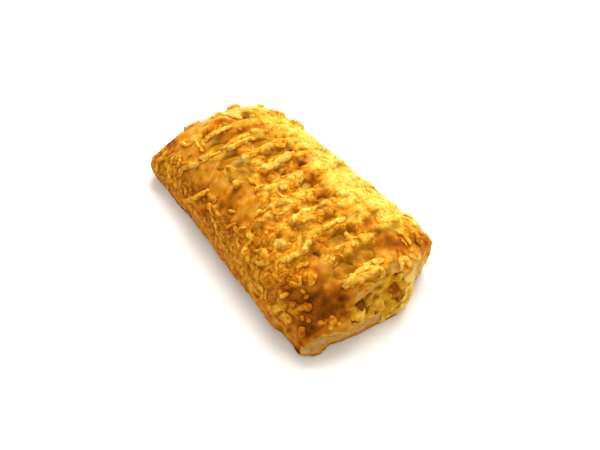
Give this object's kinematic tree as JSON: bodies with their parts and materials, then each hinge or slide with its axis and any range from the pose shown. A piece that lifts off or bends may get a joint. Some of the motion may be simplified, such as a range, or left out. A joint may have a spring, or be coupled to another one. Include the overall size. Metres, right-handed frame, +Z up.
{
  "type": "cheese pastry",
  "caption": "Baked puff pastry parcel under browned grated cheese, its lid cut in a lattice and one short end burst open over a cheese sauce filling with browned cubes; rests flat.",
  "frame": {"origin": "Centre of the bounding box in plan, on the table under the pastry.", "axes": "+X along the parcel to the burst short end, +Y across it to the long side with the taller edge, +Z up."},
  "size_m": [0.1476, 0.082, 0.0407],
  "materials": {
    "crust": "matte",
    "filling": "satin",
    "browned": "satin"
  },
  "bodies": {
    "root": {"cheese_crust": "crust", "filling": "filling", "browned_cube_right": "browned", "browned_cube_left": "browned"}
  },
  "joints": []
}
